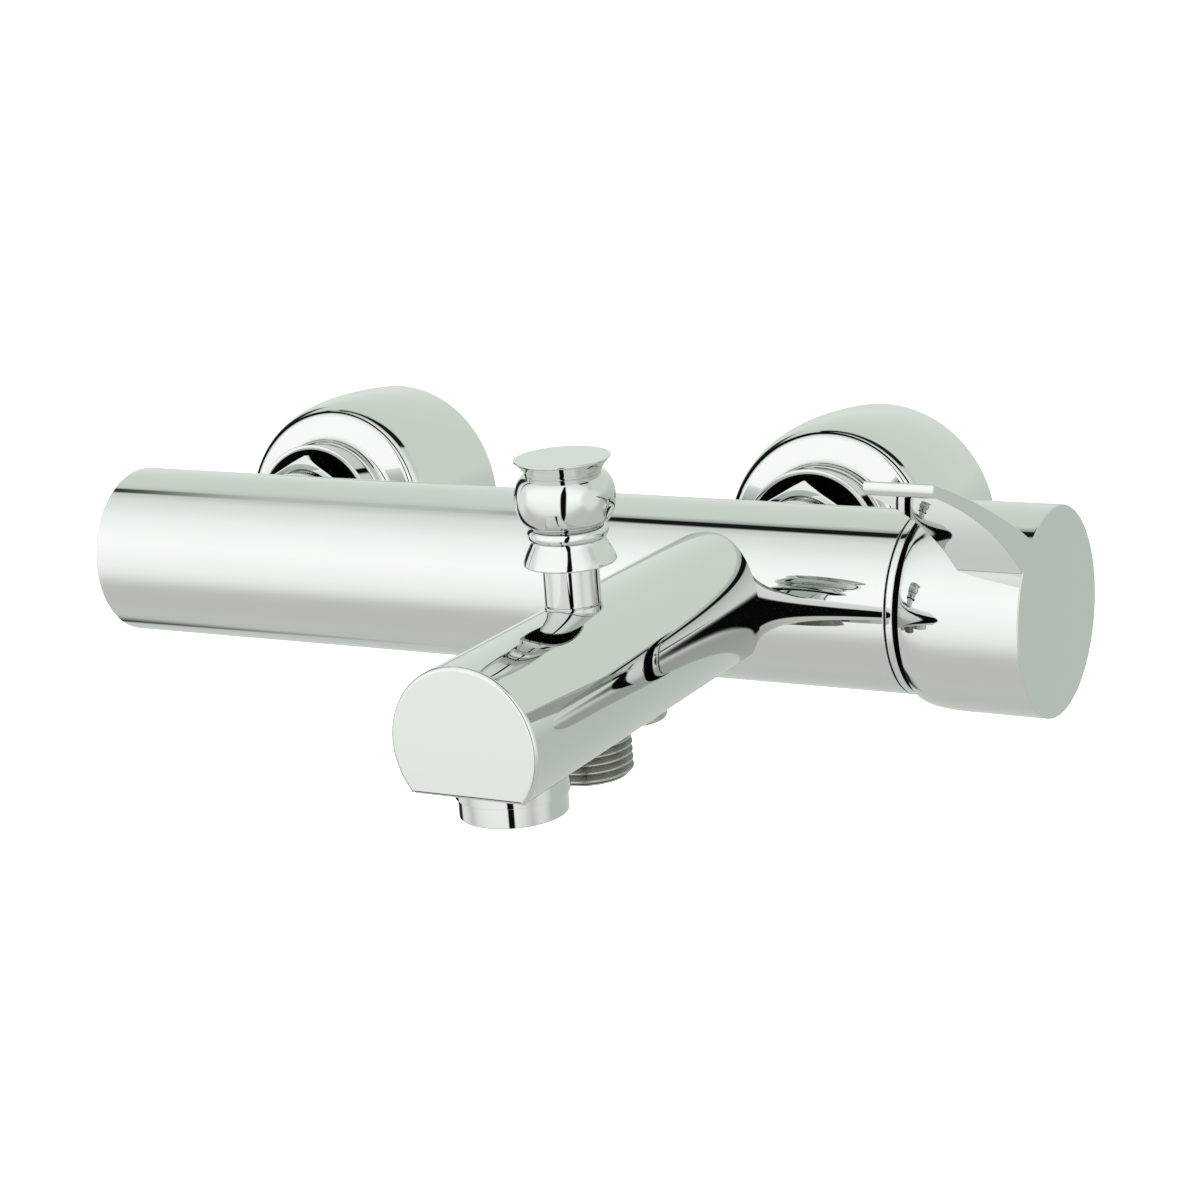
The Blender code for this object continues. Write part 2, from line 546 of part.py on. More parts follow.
def main():
    clear_scene()
    finishes = {
        "chrome": finish("chrome", (0.80, 0.82, 0.80), 0.06, 1.0),
        "brass": finish("brass", (0.72, 0.58, 0.33), 0.30, 1.0),
        "nickel": finish("nickel", (0.55, 0.53, 0.46), 0.32, 1.0),
        "steel": finish("steel", (0.60, 0.60, 0.60), 0.25, 1.0),
        "rubber": finish("rubber", (0.03, 0.03, 0.03), 0.70, 0.0),
        "plastic": finish("plastic", (0.75, 0.76, 0.78), 0.45, 0.0),
        "ceramic": finish("ceramic", (0.90, 0.89, 0.85), 0.20, 0.0),
    }
    body_axes = empty("body_axis", (0, BODY_Y, BODY_Z), (0, math.pi / 2, 0))
    turn = -(math.pi / 2 + LEVER_RISE)
    lever_axes = empty("lever_axis", (0, 0, 0), (0, 0, turn), body_axes)
    spout_axes = empty("spout_axis", (SPOUT_X, BODY_Y, BODY_Z), (SPOUT_TILT, 0, 0))
    half = INLET_SPACING / 2
    inlets = {
        "left": empty("left_inlet", (-half, 0, 0), (math.pi / 2, 0, 0)),
        "right": empty("right_inlet", (half, 0, 0), (math.pi / 2, 0, 0)),
    }
    make_mixer_body(body_axes, spout_axes, inlets, finishes["chrome"])
    make_left_end(body_axes, finishes["chrome"], finishes["rubber"])
    make_cartridge(body_axes, lever_axes, finishes)
    make_handle(body_axes, lever_axes, finishes)
    make_diverter(spout_axes, finishes)
    make_shower_outlet(spout_axes, finishes)
    make_spout_plug(spout_axes, finishes["nickel"])
    make_aerator(spout_axes, finishes)
    for side, inlet in inlets.items():
        make_inlet(side, inlet, finishes)


main()
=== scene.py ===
import json
import math

import bpy
from mathutils import Matrix, Vector


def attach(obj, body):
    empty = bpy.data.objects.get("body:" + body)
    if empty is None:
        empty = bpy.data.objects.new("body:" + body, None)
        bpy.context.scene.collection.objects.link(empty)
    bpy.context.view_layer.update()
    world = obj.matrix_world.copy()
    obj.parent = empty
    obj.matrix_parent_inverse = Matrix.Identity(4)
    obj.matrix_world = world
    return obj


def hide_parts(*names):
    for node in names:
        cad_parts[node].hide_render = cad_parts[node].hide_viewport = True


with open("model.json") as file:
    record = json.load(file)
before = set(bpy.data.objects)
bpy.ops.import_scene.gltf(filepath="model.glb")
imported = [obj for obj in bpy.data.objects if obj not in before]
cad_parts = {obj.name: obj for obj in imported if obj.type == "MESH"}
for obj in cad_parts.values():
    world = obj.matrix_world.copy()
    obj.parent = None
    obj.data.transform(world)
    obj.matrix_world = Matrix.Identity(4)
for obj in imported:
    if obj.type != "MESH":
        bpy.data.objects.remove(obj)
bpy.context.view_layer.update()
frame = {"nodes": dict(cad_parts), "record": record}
mm = 0.001
print("loaded", len(frame["nodes"]), "nodes")

# where the parts of the mixer lie, in millimetres; change these only together with the CAD
layout = {
    "tubeY": -84.5, "tubeZ": -7.0,
    "spoutX": 75.0, "spoutTilt": 9.0,
    "diverterReach": 77.4, "aeratorReach": 109.0, "plugReach": 55.5,
    "inletX": 75.0,
}
tubeAxes = (Matrix.Translation((0, layout["tubeY"] * mm, layout["tubeZ"] * mm))
            @ Matrix.Rotation(math.pi / 2, 4, "Y"))
spoutAxes = (Matrix.Translation((layout["spoutX"] * mm, layout["tubeY"] * mm, layout["tubeZ"] * mm))
             @ Matrix.Rotation(math.radians(layout["spoutTilt"]), 4, "X"))
diverterAxes = spoutAxes @ Matrix.Translation((0, -layout["diverterReach"] * mm, 0))
aeratorAxes = spoutAxes @ Matrix.Translation((0, -layout["aeratorReach"] * mm, 0))
plugAxes = spoutAxes @ Matrix.Translation((0, -layout["plugReach"] * mm, 0))
outFromWall = Matrix.Rotation(math.pi / 2, 4, "X")
inletAxes = {
    "left": Matrix.Translation((-layout["inletX"] * mm, 0, 0)) @ outFromWall,
    "right": Matrix.Translation((layout["inletX"] * mm, 0, 0)) @ outFromWall,
}


# modelling helpers

def clearSelection():
    bpy.ops.object.select_all(action="DESELECT")


def activate(piece):
    clearSelection()
    piece.select_set(True)
    bpy.context.view_layer.objects.active = piece


def arc(centreRadius, centreHeight, size, startDegrees, endDegrees, count):
    points = []
    for step in range(count + 1):
        angle = math.radians(startDegrees + (endDegrees - startDegrees) * step / count)
        points.append((centreRadius + size * math.cos(angle), centreHeight + size * math.sin(angle)))
    return points


weldDistance = 0.000001
hexagonShare = 2 / math.sqrt(3)


def turnPiece(name, rings, steps, hollow=False):
    # the outline is pulled up ring by ring, as on a lathe; a hollow one comes back to its first ring
    clearSelection()
    radius, height = rings[0]
    bpy.ops.mesh.primitive_circle_add(vertices=steps, radius=radius * mm, location=(0, 0, height * mm),
                                      fill_type="NOTHING" if hollow else "NGON")
    piece = bpy.context.object
    piece.name = name
    bpy.ops.object.mode_set(mode="EDIT")
    bpy.ops.mesh.select_all(action="SELECT")
    for nextRadius, nextHeight in rings[1:] + (rings[:1] if hollow else []):
        bpy.ops.mesh.extrude_region_move(
            TRANSFORM_OT_translate={"value": (0, 0, (nextHeight - height) * mm)})
        grow = nextRadius / radius
        bpy.ops.transform.resize(value=(grow, grow, 1), center_override=(0, 0, nextHeight * mm))
        radius, height = nextRadius, nextHeight
    bpy.ops.mesh.select_all(action="SELECT")
    bpy.ops.mesh.remove_doubles(threshold=weldDistance)
    bpy.ops.mesh.normals_make_consistent(inside=False)
    bpy.ops.object.mode_set(mode="OBJECT")
    return piece


def addPrism(across, height, middle):
    # a hexagonal prism on the axis, measured across its flats
    clearSelection()
    bpy.ops.mesh.primitive_cylinder_add(vertices=6, radius=across / 2 * hexagonShare * mm,
                                        depth=height * mm, location=(0, 0, middle * mm))
    return bpy.context.object


def putAt(piece, axes):
    activate(piece)
    bpy.ops.object.transform_apply(location=True, rotation=True, scale=True)
    piece.matrix_world = axes
    bpy.ops.object.transform_apply(location=True, rotation=True, scale=True)
    return piece


def combine(piece, tool, operation):
    activate(piece)
    step = piece.modifiers.new("cut", "BOOLEAN")
    step.operation = operation
    step.solver = "EXACT"
    step.object = tool
    bpy.ops.object.modifier_apply(modifier=step.name)
    bpy.data.objects.remove(tool)
    return piece


def joinPieces(main, others):
    activate(main)
    for other in others:
        other.select_set(True)
    bpy.ops.object.join()
    return main


def copyPiece(piece, name, axes):
    twin = piece.copy()
    twin.data = piece.data.copy()
    twin.name = name
    bpy.context.scene.collection.objects.link(twin)
    return putAt(twin, axes)


def finishPiece(piece, materials, body, nodes, sharpness=32):
    activate(piece)
    bpy.ops.object.shade_smooth_by_angle(angle=math.radians(sharpness))
    evenNormals = piece.modifiers.new("evenNormals", "WEIGHTED_NORMAL")
    evenNormals.weight = 80
    evenNormals.keep_sharp = True
    bpy.ops.object.modifier_apply(modifier=evenNormals.name)
    for material in materials:
        piece.data.materials.append(material)
    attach(piece, body)
    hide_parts(*nodes)
    return piece


def paintShadeInside(piece, axes, test):
    # faces whose middle passes the test, seen in the given axes, take the second material: the near-black
    # painted shade that darkens gaps, bores and hollows
    inverse = axes.inverted()
    for face in piece.data.polygons:
        centre = inverse @ face.center / mm
        normal = inverse.to_3x3() @ face.normal
        outward = normal.x * centre.x + normal.y * centre.y
        if test(math.hypot(centre.x, centre.y), centre.z, outward, normal.z):
            face.material_index = 1


# material helpers

class Wire:
    def __init__(self, maker, socket):
        self.maker = maker
        self.socket = socket

    def work(self, operation, *values):
        return self.maker.node("ShaderNodeMath", {"operation": operation}, *values)

    def __add__(self, other):
        return self.work("ADD", self, other)

    def __sub__(self, other):
        return self.work("SUBTRACT", self, other)

    def __mul__(self, other):
        return self.work("MULTIPLY", self, other)

    def __truediv__(self, other):
        return self.work("DIVIDE", self, other)

    def __rsub__(self, other):
        return self.work("SUBTRACT", other, self)

    def __neg__(self):
        return self.work("MULTIPLY", self, -1.0)

    def __abs__(self):
        return self.work("ABSOLUTE", self)

    __radd__ = __add__

    def between(self, low, high):
        smooth = {"interpolation_type": "SMOOTHSTEP"}
        return self.maker.node("ShaderNodeMapRange", smooth, self, low, high)


class NodeMaker:
    def __init__(self, tree):
        self.tree = tree

    def node(self, kind, settings, *values, output=0, **named):
        made = self.tree.nodes.new(kind)
        for key, value in settings.items():
            if key == "stops":
                self.setStops(made.color_ramp, value)
            else:
                setattr(made, key, value)
        for place, value in list(enumerate(values)) + list(named.items()):
            self.fill(made.inputs[place] if isinstance(place, int) else self.namedInput(made, place), value)
        return Wire(self, made.outputs[output])

    def fill(self, socket, value):
        if isinstance(value, Wire):
            self.tree.links.new(value.socket, socket)
        else:
            socket.default_value = value

    def namedInput(self, made, name):
        for socket in made.inputs:
            if socket.enabled and socket.name.replace(" ", "").lower() == name.lower():
                return socket
        raise KeyError(name)

    def setStops(self, ramp, stops):
        while len(ramp.elements) < len(stops):
            ramp.elements.new(1.0)
        for element, (position, colour) in zip(ramp.elements, stops):
            element.position = position
            element.color = (*colour, 1.0)

    def mixColour(self, share, first, second):
        made = self.tree.nodes.new("ShaderNodeMix")
        made.data_type = "RGBA"
        # the colour sockets come after those for numbers and vectors
        for place, value in ((0, share), (6, first), (7, second)):
            self.fill(made.inputs[place], value)
        return Wire(self, made.outputs[2])


class Finish(NodeMaker):
    def __init__(self, name):
        self.material = bpy.data.materials.new(name)
        self.material.use_nodes = True
        super().__init__(self.material.node_tree)
        self.shader = self.tree.nodes["Principled BSDF"]
        self.place = self.node("ShaderNodeTexCoord", {}, output="Object")

    def noise(self, scale, detail=2.0, roughness=0.5, stretch=(1, 1, 1)):
        where = self.place
        if stretch != (1, 1, 1):
            where = self.node("ShaderNodeMapping", {}, self.place, scale=stretch)
        return self.node("ShaderNodeTexNoise", {}, vector=where, scale=scale, detail=detail,
                         roughness=roughness)

    def bump(self, height, distance):
        return self.node("ShaderNodeBump", {}, strength=1.0, distance=distance, height=height)

    def set(self, **values):
        for name, value in values.items():
            self.fill(self.namedInput(self.shader, name), value)
        return self.material


# finishes

chromeLook = {
    "colour": (0.605, 0.625, 0.605, 1), "shade": (0.575, 0.595, 0.58, 1),
    "roughness": 0.018, "smudge": 0.05, "waviness": 0.000012,
}


def makeChrome(name, look, seed):
    finish = Finish(name)
    cloud = finish.noise(38.0 + seed, 3.0, 0.55)
    smudge = finish.noise(21.0 + seed, 4.0, 0.65).between(0.56, 0.78)
    wipe = finish.noise(300.0, 2.0, 0.5, (1.0, 0.12, 1.0)).between(0.55, 0.8)
    colour = finish.mixColour(cloud * 0.5, look["colour"], look["shade"])
    wave = finish.noise(55.0, 1.0, 0.4)
    return finish.set(basecolor=colour, metallic=1.0,
                      roughness=smudge * (0.35 + wipe * 0.65) * look["smudge"] + look["roughness"],
                      normal=finish.bump(wave, look["waviness"]))


machinedLooks = {
    "agedNickel": {"light": (0.47, 0.48, 0.44, 1), "dark": (0.33, 0.335, 0.30, 1),
                   "roughness": 0.17, "grain": 700.0, "depth": 0.00001},
    # the brass keeps its lathe marks, but its tone is set darker than bare brass as painted shade where it
    # shows through the gaps
    "machinedBrass": {"light": (0.44, 0.34, 0.19, 1), "dark": (0.30, 0.22, 0.12, 1),
                      "roughness": 0.28, "grain": 800.0, "depth": 0.00002},
    "brightSteel": {"light": (0.66, 0.66, 0.65, 1), "dark": (0.52, 0.52, 0.51, 1),
                    "roughness": 0.2, "grain": 900.0, "depth": 0.00001},
}
mouldedLooks = {
    # the first look is no real material: near-black painted shade for gaps, bores and hollows
    "paintedShadeBlack": {"light": (0.006, 0.006, 0.005, 1), "dark": (0.012, 0.011, 0.01, 1),
                   "roughness": 0.8, "pebble": 500.0, "depth": 0.00002, "shine": 0.12},
    "blackRubber": {"light": (0.022, 0.022, 0.022, 1), "dark": (0.06, 0.058, 0.055, 1),
                    "roughness": 0.6, "pebble": 1500.0, "depth": 0.00003, "shine": 0.5},
    "whitePlastic": {"light": (0.42, 0.43, 0.44, 1), "dark": (0.32, 0.33, 0.34, 1),
                     "roughness": 0.38, "pebble": 900.0, "depth": 0.00002, "shine": 0.5},
    "firedCeramic": {"light": (0.88, 0.87, 0.83, 1), "dark": (0.80, 0.78, 0.73, 1),
                     "roughness": 0.16, "pebble": 1200.0, "depth": 0.000005, "shine": 0.5},
}


def makeMachined(name):
    # lathe marks and a slightly uneven tone, for brass, steel and nickel
    look = machinedLooks[name]
    finish = Finish(name)
    tone = finish.noise(90.0, 4.0, 0.6).between(0.3, 0.75)
    marks = finish.noise(look["grain"], 2.0, 0.5)
    speckle = finish.noise(900.0, 2.0, 0.6)
    return finish.set(basecolor=finish.mixColour(tone, look["light"], look["dark"]), metallic=1.0,
                      roughness=speckle * 0.14 + look["roughness"] + marks * 0.08,
                      normal=finish.bump(marks + speckle * 0.4, look["depth"]))


def makeMoulded(name):
    # plastic, rubber and fired ceramic: fine pebbled skin with dust in its tone; the same maker gives the
    # near-black painted shade laid in gaps and hollows
    look = mouldedLooks[name]
    finish = Finish(name)
    skin = finish.noise(look["pebble"], 3.0, 0.6)
    dust = finish.noise(60.0, 4.0, 0.65).between(0.45, 0.8)
    return finish.set(basecolor=finish.mixColour(dust, look["light"], look["dark"]), metallic=0.0,
                      roughness=dust * 0.1 + look["roughness"], specularIORLevel=look["shine"],
                      normal=finish.bump(skin, look["depth"]))


bodyChrome = makeChrome("bodyChrome", chromeLook, 0.0)
handleChrome = makeChrome("handleChrome", chromeLook, 5.0)
rosetteChrome = makeChrome("rosetteChrome", chromeLook, 9.0)
knobChrome = makeChrome("knobChrome", {**chromeLook, "smudge": 0.03}, 13.0)
agedNickel, machinedBrass, brightSteel = (makeMachined(name) for name in machinedLooks)
paintedShadeBlack, blackRubber, whitePlastic, firedCeramic = (makeMoulded(name) for name in mouldedLooks)
print("finishes made")


# mixer body: tube, spout, aerator boss and inlet necks

body = {
    "radius": 21.5, "bore": 17.8, "left": -101.4, "right": 122.7, "edge": 0.45, "steps": 256,
    "spoutRoot": 10.0, "spoutRootRadius": 16.5, "spoutReach": 127.0, "spoutTipRadius": 17.6,
    "spoutRise": 1.0, "spoutEdge": 1.0, "flat": -9.65, "flatEdge": 0.35,
    "bossRadius": 12.4, "bossTop": -5.0, "bossEnd": -14.1, "bossEdge": 0.1,
    "glandBoss": 6.4, "glandBossStart": 12.0, "glandBossEnd": 18.3, "glandBossEdge": 0.15,
    "neckRadius": 11.6, "neckEnd": 43.2, "neckBore": 8.0, "neckBoreDepth": 60.0, "neckRoot": 76.0,
    "neckCollar": 1.2, "neckCollarLength": 3.0,
}


def makeTube(look):
    edge = look["edge"]
    rings = [(look["bore"], look["left"])]
    rings += arc(look["radius"] - edge, look["left"] + edge, edge, -90, 0, 4)
    rings += arc(look["radius"] - edge / 2, look["right"] - edge / 2, edge / 2, 0, 90, 3)
    rings += [(look["bore"], look["right"])]
    return putAt(turnPiece("mixerBody", rings, look["steps"], hollow=True), tubeAxes)


def makeSpout(look):
    edge = look["spoutEdge"]
    tip, reach = look["spoutTipRadius"], look["spoutReach"]
    rings = [(look["spoutRootRadius"], look["spoutRoot"])]
    rings += arc(tip - edge, reach - edge, edge, 0, 90, 6)
    spout = turnPiece("spout", rings, look["steps"])
    along = spoutAxes @ Matrix.Translation((0, 0, look["spoutRise"] * mm)) @ outFromWall
    putAt(spout, along)
    # the underside is cut flat
    bpy.ops.object.mode_set(mode="EDIT")
    bpy.ops.mesh.select_all(action="SELECT")
    down = spoutAxes.to_3x3() @ Vector((0, 0, -1))
    bpy.ops.mesh.bisect(plane_co=spoutAxes @ Vector((0, 0, look["flat"] * mm)), plane_no=down,
                        use_fill=True, clear_outer=True)
    bpy.ops.mesh.bevel(offset=look["flatEdge"] * mm, segments=3, affect="EDGES")
    bpy.ops.mesh.select_all(action="SELECT")
    bpy.ops.mesh.normals_make_consistent(inside=False)
    bpy.ops.object.mode_set(mode="OBJECT")
    return spout


def makeBosses(look):
    radius, edge = look["bossRadius"], look["bossEdge"]
    rings = [(radius - 1.6, look["bossEnd"])] + arc(radius - edge, look["bossEnd"] + edge, edge, -90, 0, 2)
    rings += [(radius, look["bossTop"])]
    boss = putAt(turnPiece("aeratorBoss", rings, 160), aeratorAxes)
    radius, edge = look["glandBoss"], look["glandBossEdge"]
    rings = [(radius, look["glandBossStart"])]
    rings += arc(radius - edge, look["glandBossEnd"] - edge, edge, 0, 90, 2)
    glandBoss = putAt(turnPiece("glandBoss", rings, 96), diverterAxes)
    return [boss, glandBoss]


def makeNeck(look, axes):
    radius, bore, end = look["neckRadius"], look["neckBore"], look["neckEnd"]
    collar, collarEnd = radius + look["neckCollar"], end + look["neckCollarLength"]
    rings = [(bore, look["neckBoreDepth"]), (bore, end), (collar, end), (collar, collarEnd)]
    rings += [(radius, collarEnd), (radius, look["neckRoot"]), (bore + 1.0, look["neckRoot"])]
    return putAt(turnPiece("inletNeck", rings, 96, hollow=True), axes)


tube = makeTube(body)
shells = [makeSpout(body)] + makeBosses(body) + [makeNeck(body, axes) for axes in inletAxes.values()]
mixerBody = joinPieces(tube, shells)
# painted shade: the tube's bore and its end face at the handle gap are painted black
paintShadeInside(mixerBody, tubeAxes, lambda radius, along, outward, tilt:
            (radius < 18.2 and -101 < along < 122.5) or (radius < 20.9 and 122.6 < along < 123))
finishPiece(mixerBody, [bodyChrome, paintedShadeBlack], "fixed", ["mixer_body"])
print("body done")


# plug in the tube's left end

endPlug = {
    "radius": 17.7, "face": -101.1, "back": -95.0, "edge": 0.6, "key": 8.0, "keyDepth": 3.6,
    "sealRadius": 15.9, "sealBack": -97.0, "sealFront": -98.9, "lineOuter": 12.5, "lineInner": 11.3,
    "lineDepth": 0.35,
}


def makePlug(look):
    radius, face, edge = look["radius"], look["face"], look["edge"]
    rings = [(radius, look["back"]), (radius, look["sealBack"]), (look["sealRadius"], look["sealBack"])]
    rings += [(look["sealRadius"], look["sealFront"]), (radius, look["sealFront"])]
    rings += arc(radius - edge, face + edge, edge, 0, -90, 4)
    # a fine turned line round the key
    line = face + look["lineDepth"]
    rings += [(look["lineOuter"], face), (look["lineOuter"] - 0.3, line)]
    rings += [(look["lineInner"] + 0.3, line), (look["lineInner"], face)]
    plugBody = turnPiece("leftEndPlug", rings, 160)
    combine(plugBody, addPrism(look["key"], look["keyDepth"] * 2, face), "DIFFERENCE")
    return putAt(plugBody, tubeAxes)


finishPiece(makePlug(endPlug), [bodyChrome], "fixed", ["left_end_plug"])


# bright ring between tube and handle

coverRing = {
    "inner": 15.8, "sleeve": 17.4, "outer": 21.5, "back": 119.8, "start": 123.0, "end": 124.9,
    "edge": 0.4, "step": 18.6, "stepDepth": 0.5,
}


def makeCoverRing(look):
    edge = look["edge"]
    sunk = look["end"] - look["stepDepth"]
    rings = [(look["inner"], look["back"]), (look["sleeve"], look["back"]), (look["sleeve"], look["start"])]
    rings += arc(look["outer"] - edge, look["start"] + edge, edge, -90, 0, 4)
    rings += arc(look["outer"] - edge, look["end"] - edge, edge, 0, 90, 4)
    rings += [(look["step"], look["end"]), (look["step"] - 0.4, sunk), (look["inner"], sunk)]
    return putAt(turnPiece("coverRing", rings, 224, hollow=True), tubeAxes)


ringPiece = makeCoverRing(coverRing)
# painted shade: the ring's bore and its end faces at both gaps are painted black
paintShadeInside(ringPiece, tubeAxes, lambda radius, along, outward, tilt:
            radius < 18.7 or (radius < 20.9 and not 123.1 < along < 124.8))
finishPiece(ringPiece, [bodyChrome, paintedShadeBlack], "fixed", ["cover_ring"])


# handle: a cup with a curved blade

handle = {
    "rim": 126.8, "end": 156.4, "rimRadius": 22.95, "rimInner": 22.4, "endRadius": 24.5,
    "endWall": 3.5, "boss": 136.0, "bossRadius": 8.6, "edge": 0.4,
    "leverWidth": 16.0, "leverEdge": 0.3, "leverSteps": 28,
}


def curvePoints(start, startDegrees, end, endDegrees, pull, count):
    # a smooth curve in the plane across the tube; the angles are its slope at both ends
    first, last = Vector(start), Vector(end)
    startAngle, endAngle = math.radians(startDegrees), math.radians(endDegrees)
    leave = first + pull * Vector((-math.cos(startAngle), math.sin(startAngle)))
    arrive = last - pull * Vector((-math.cos(endAngle), math.sin(endAngle)))
    points = []
    for step in range(count + 1):
        t = step / count
        s = 1 - t
        points.append(s ** 3 * first + 3 * s * s * t * leave + 3 * s * t * t * arrive + t ** 3 * last)
    return points


def makeCup(look):
    floor = look["end"] - look["endWall"]
    rings = [(7.2, look["boss"]), (look["bossRadius"], look["boss"] + 0.6), (look["bossRadius"], floor)]
    rings += [(22.9, floor), (22.9, 132.0), (look["rimInner"], 129.0), (look["rimInner"], look["rim"])]
    rings += [(look["rimRadius"] - 0.2, look["rim"]), (look["rimRadius"], look["rim"] + 0.15)]
    rings += [(23.45, 128.2), (23.85, 129.9), (24.12, 131.8), (24.3, 134.0), (24.38, 136.5)]
    rings += arc(look["endRadius"] - look["edge"], look["end"] - look["edge"], look["edge"], 0, 90, 4)
    return putAt(turnPiece("handle", rings, 256), tubeAxes)


def makeLever(look):
    under = curvePoints((-22.0, 11.0), 37, (-72.2, 32.3), 14, 18, look["leverSteps"])
    over = curvePoints((-16.0, 17.6), 24, (-72.4, 35.1), 13, 18, look["leverSteps"])
    inside = look["endRadius"] - 1.0
    root = []
    for degrees in (44, 41, 38, 35, 32):
        angle = math.radians(degrees)
        root.append(Vector((-inside * math.cos(angle), inside * math.sin(angle))))
    # the blade's end is rounded off
    tip = [Vector(point) for point in ((-72.62, 32.75), (-72.85, 33.4), (-72.88, 34.0), (-72.75, 34.65))]
    path = under + tip + over[::-1] + root
    place = [(point.x + layout["tubeY"], point.y + layout["tubeZ"]) for point in path]
    width = look["leverWidth"]
    clearSelection()
    y, z = place[0]
    bpy.ops.mesh.primitive_plane_add(
        size=width * mm, location=((look["end"] - width / 2) * mm, (y + width / 2) * mm, z * mm))
    lever = bpy.context.object
    lever.name = "leverBlade"
    # one edge of the plane is kept, and drawn along the blade's outline
    for vertex in lever.data.vertices:
        vertex.select = vertex.co.y > 0
    for edge in lever.data.edges:
        edge.select = False
    for face in lever.data.polygons:
        face.select = False
    bpy.context.tool_settings.mesh_select_mode = (True, False, False)
    bpy.ops.object.mode_set(mode="EDIT")
    bpy.ops.mesh.delete(type="VERT")
    bpy.ops.mesh.select_all(action="SELECT")
    for (nextY, nextZ) in place[1:] + place[:1]:
        bpy.ops.mesh.extrude_region_move(
            TRANSFORM_OT_translate={"value": (0, (nextY - y) * mm, (nextZ - z) * mm)})
        y, z = nextY, nextZ
    bpy.ops.mesh.select_all(action="SELECT")
    bpy.ops.mesh.remove_doubles(threshold=weldDistance)
    bpy.ops.mesh.fill_holes(sides=0)
    bpy.ops.mesh.select_all(action="SELECT")
    bpy.ops.mesh.normals_make_consistent(inside=False)
    bpy.context.tool_settings.mesh_select_mode = (False, True, False)
    bpy.ops.mesh.select_all(action="DESELECT")
    bpy.ops.mesh.edges_select_sharp(sharpness=math.radians(40))
    bpy.ops.mesh.bevel(offset=look["leverEdge"] * mm, segments=3, affect="EDGES")
    bpy.ops.object.mode_set(mode="OBJECT")
    activate(lever)
    bpy.ops.object.transform_apply(location=True, rotation=True, scale=True)
    return lever


handlePiece = combine(makeCup(handle), makeLever(handle), "UNION")
# painted shade: the cup's inner wall and hollow are painted black, so the gap at the rim reads dark
paintShadeInside(handlePiece, tubeAxes, lambda radius, along, outward, tilt:
            along < 153 and radius < 23.2 and (outward < 0 or radius < 22.6))
finishPiece(handlePiece, [handleChrome, paintedShadeBlack], "lifting", ["handle"])
print("handle done")


# diverter: knob and gland

knob = {
    "bottom": 27.7, "hollow": 6.6, "hollowTop": 41.0, "ceiling": 31.8, "ceilingRadius": 7.2,
    "mouth": 9.3, "skirt": 10.25, "waist": 8.1,
    "ringCentre": 7.3, "ringSize": 1.6, "ringHeight": 34.45, "bulbInner": 7.9, "bulb": 11.05,
    "bulbHeight": 42.3, "bulbBelow": 6.0, "bulbAbove": 5.3, "neck": 8.55, "top": 51.0, "rim": 10.6,
}


def makeKnob(look):
    rings = [(look["hollow"], look["hollowTop"]), (look["hollow"], look["ceiling"])]
    rings += [(look["ceilingRadius"], look["ceiling"]), (look["mouth"], look["bottom"])]
    rings += arc(look["skirt"] - 0.35, look["bottom"] + 0.35, 0.35, -90, 12, 4)
    rings += [(9.85, 29.2), (9.35, 30.2), (8.9, 31.1), (8.45, 31.95), (look["waist"], 32.6)]
    rings += arc(look["ringCentre"], look["ringHeight"], look["ringSize"], -64, 72, 14)
    for step in range(1, 29):
        angle = math.pi * (step / 29 - 0.5)
        rise = look["bulbAbove"] if angle > 0 else look["bulbBelow"]
        rings.append((look["bulbInner"] + (look["bulb"] - look["bulbInner"]) * math.cos(angle),
                      look["bulbHeight"] + rise * math.sin(angle)))
    rings += [(look["neck"] - 0.1, 47.85), (look["neck"], 48.15), (8.75, 48.55), (9.15, 49.1)]
    rings += [(9.65, 49.7), (10.2, 50.35)]
    rings += arc(look["rim"] - 0.2, look["top"] - 0.2, 0.2, -30, 90, 4)
    return putAt(turnPiece("diverterKnob", rings, 144), diverterAxes)


gland = {"bore": 2.9, "bottom": 11.1, "thread": 5.7, "seat": 18.6, "radius": 6.2, "top": 38.0}


def makeGland(look):
    bore, radius, seat, top = look["bore"], look["radius"], look["seat"], look["top"]
    rings = [(bore, look["bottom"]), (look["thread"], look["bottom"]), (look["thread"], seat)]
    rings += [(radius - 0.1, seat), (radius, seat + 0.1), (radius, top - 0.4), (radius - 0.4, top)]
    rings += [(bore, top)]
    return putAt(turnPiece("diverterGland", rings, 96, hollow=True), diverterAxes)


knobPiece = makeKnob(knob)
# painted shade: the hollow under the knob is painted black
paintShadeInside(knobPiece, diverterAxes, lambda radius, along, outward, tilt:
            along < 41.5 and radius < 9.4 and (outward < 0 or tilt < -0.9))
finishPiece(knobPiece, [knobChrome, paintedShadeBlack], "diverter_turning", ["diverter_knob"])
finishPiece(makeGland(gland), [bodyChrome], "fixed", ["diverter_gland"])
print("diverter done")


# shower outlet: threaded nipple with a hexagon under the spout

nipple = {
    "crest": 10.45, "root": 9.2, "pitch": 1.814, "crests": 5, "end": -20.7, "bore": 6.4,
    "sleeve": 8.8, "sleeveTop": -8.2, "threadTop": -9.95,
    "hexagon": 19.5, "hexagonMiddle": -10.75, "hexagonHeight": 1.6,
}


def threadRings(crest, root, start, pitch, count):
    rings = []
    for turn in range(count):
        low = start + turn * pitch
        rings += [(root, low), (crest - 0.12, low + 0.34 * pitch), (crest, low + 0.42 * pitch)]
        rings += [(crest, low + 0.58 * pitch), (crest - 0.12, low + 0.66 * pitch)]
    return rings + [(root, start + count * pitch)]


